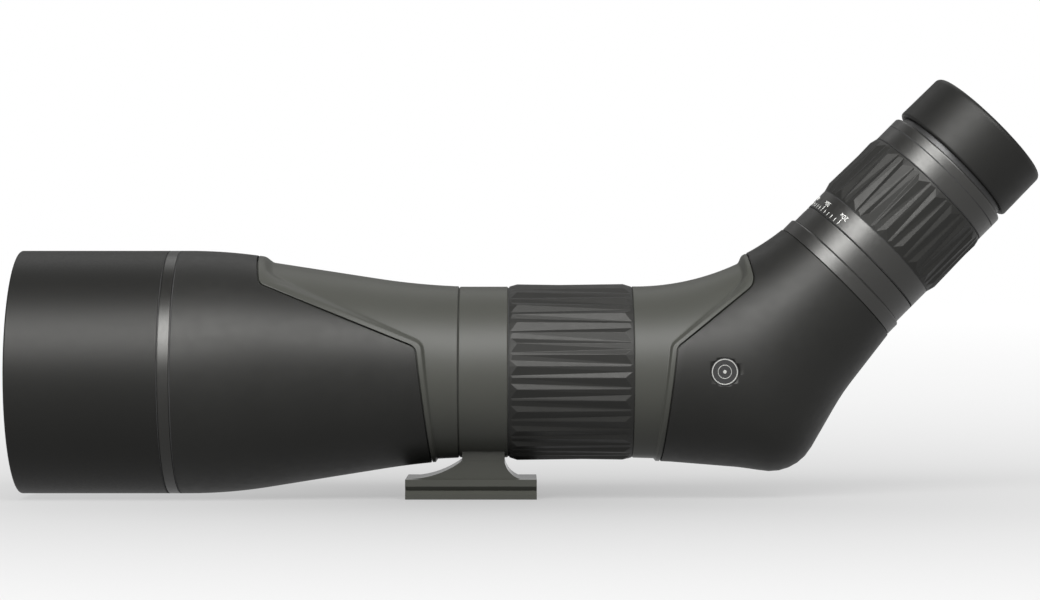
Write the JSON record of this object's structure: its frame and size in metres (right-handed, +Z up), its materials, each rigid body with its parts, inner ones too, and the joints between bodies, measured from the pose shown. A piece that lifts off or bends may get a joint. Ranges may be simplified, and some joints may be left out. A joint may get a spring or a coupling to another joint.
{
  "type": "spotting scope",
  "caption": "Angled spotting scope with a sliding sunshade, ridged focus ring, zoom eyepiece at 45 degrees, twist-up eyecup and a rotating tripod collar with dovetail foot.",
  "frame": {"origin": "centre of the dovetail foot's flat underside, at the mouth of the tripod thread", "axes": "+X along the main optical axis from objective to eyepiece, +Z up away from the tripod, +Y to the far side with the collar lock knob"},
  "size_m": [0.4104, 0.098, 0.1686],
  "materials": {
    "hood_paint": "matte black anodised",
    "grey_green_paint": "satin grey-green anodised",
    "satin_ring": "satin brushed grey anodised",
    "armour_rubber": "fine matte rubber armour",
    "grip_rubber": "ridged matte rubber",
    "eyecup_rubber": "soft matte rubber",
    "black_anodised": "black anodised, internal",
    "inner_black": "blackened against stray light",
    "objective_glass": "multicoated",
    "optical_glass": "polished, coated",
    "slip_liner": "low friction plastic",
    "seal_rubber": "smooth",
    "steel": "turned",
    "brass": "turned",
    "badge_metal": "dark enamel with bare metal rings"
  },
  "bodies": {
    "mount": {"tripod_collar": "grey_green_paint", "collar_liner": "slip_liner", "tripod_thread_bush": "steel", "lock_bush": "brass"},
    "barrel": {"front_barrel": "grey_green_paint", "front_armour": "armour_rubber", "name_ring": "satin_ring", "objective_cell": "black_anodised", "hood_friction_band": "seal_rubber", "objective_retaining_ring": "black_anodised", "objective_crown_lens": "objective_glass", "objective_spacer_ring": "black_anodised", "objective_flint_lens": "objective_glass", "light_baffles": "inner_black", "neck_tube": "black_anodised", "neck_seal": "seal_rubber", "prism_housing": "grey_green_paint", "rear_armour": "armour_rubber", "badge": "badge_metal", "roof_prism": "optical_glass", "prism_cradle": "black_anodised", "prism_clamp": "steel", "prism_screws": "steel", "eyepiece_lock_ring": "satin_ring", "eyepiece_base": "satin_ring", "eyepiece_tube": "black_anodised", "eyepiece_rear_shell": "satin_ring", "eyecup_stop_ring": "satin_ring", "eye_lens_cell": "black_anodised", "eye_lens": "optical_glass", "field_lens": "optical_glass"},
    "lock_knob": {"collar_lock_knob": "grip_rubber", "lock_stud": "steel"},
    "lock_shoe": {"brake_shoe": "brass"},
    "hood": {"sunshade": "hood_paint"},
    "focus_ring": {"focus_ring": "black_anodised", "focus_grip": "grip_rubber"},
    "focus_carriage": {"focus_lens_cell": "black_anodised", "focus_lens": "optical_glass", "focus_drive_pin": "brass"},
    "zoom_ring": {"zoom_ring": "satin_ring", "zoom_grip": "grip_rubber", "zoom_cam_sleeve": "brass"},
    "zoom_front_carriage": {"zoom_front_cell": "black_anodised", "zoom_front_lens": "optical_glass", "zoom_front_pin": "brass"},
    "zoom_rear_carriage": {"zoom_rear_cell": "black_anodised", "zoom_rear_lens": "optical_glass", "zoom_rear_pin": "brass"},
    "eyecup_guide": {"eyecup_guide_ring": "slip_liner"},
    "eyecup": {"eyecup_sleeve": "black_anodised", "eyecup_rubber": "eyecup_rubber"}
  },
  "joints": [
    {"name": "collar_turn", "type": "hinge", "parent": "mount", "child": "barrel", "pos_m": [0.00495, 0, 0.0504], "axis": [1, 0, 0], "continuous": true},
    {"name": "hood_slide", "type": "slide", "parent": "barrel", "child": "hood", "axis": [-1, 0, 0], "range_m": [0, 0.036]},
    {"name": "focus_turn", "type": "hinge", "parent": "barrel", "child": "focus_ring", "pos_m": [0.00495, 0, 0.0504], "axis": [1, 0, 0], "range_deg": [-160, 160]},
    {"name": "focus_travel", "type": "slide", "parent": "barrel", "child": "focus_carriage", "axis": [1, 0, 0], "range_m": [-0.006, 0.006]},
    {"name": "zoom_turn", "type": "hinge", "parent": "barrel", "child": "zoom_ring", "pos_m": [0.1105, 0, 0.0504], "axis": [0.7071, 0, 0.7071], "range_deg": [-54, 50]},
    {"name": "zoom_front_travel", "type": "slide", "parent": "barrel", "child": "zoom_front_carriage", "axis": [0.7071, 0, 0.7071], "range_m": [-0.0038, 0.0036]},
    {"name": "zoom_rear_travel", "type": "slide", "parent": "barrel", "child": "zoom_rear_carriage", "axis": [0.7071, 0, 0.7071], "range_m": [-0.0036, 0.0038]},
    {"name": "eyecup_lift", "type": "slide", "parent": "barrel", "child": "eyecup_guide", "axis": [0.7071, 0, 0.7071], "range_m": [0, 0.009]},
    {"name": "eyecup_twist", "type": "hinge", "parent": "eyecup_guide", "child": "eyecup", "pos_m": [0.1105, 0, 0.0504], "axis": [0.7071, 0, 0.7071], "range_deg": [0, 240]},
    {"name": "lock_turn", "type": "hinge", "parent": "mount", "child": "lock_knob", "pos_m": [0.00495, 0, 0.0504], "axis": [0, 1, 0], "range_deg": [0, 180]},
    {"name": "shoe_travel", "type": "slide", "parent": "mount", "child": "lock_shoe", "axis": [0, 1, 0], "range_m": [0, 0.0005]}
  ],
  "couplings": [
    {"joint": "focus_travel", "follows": "focus_turn", "m_per_rad": 0.00214},
    {"joint": "zoom_front_travel", "follows": "zoom_turn", "m_per_rad": 0.004},
    {"joint": "zoom_rear_travel", "follows": "zoom_turn", "m_per_rad": -0.004},
    {"joint": "eyecup_lift", "follows": "eyecup_twist", "m_per_rad": 0.00214},
    {"joint": "shoe_travel", "follows": "lock_turn", "m_per_rad": 0.000158}
  ]
}
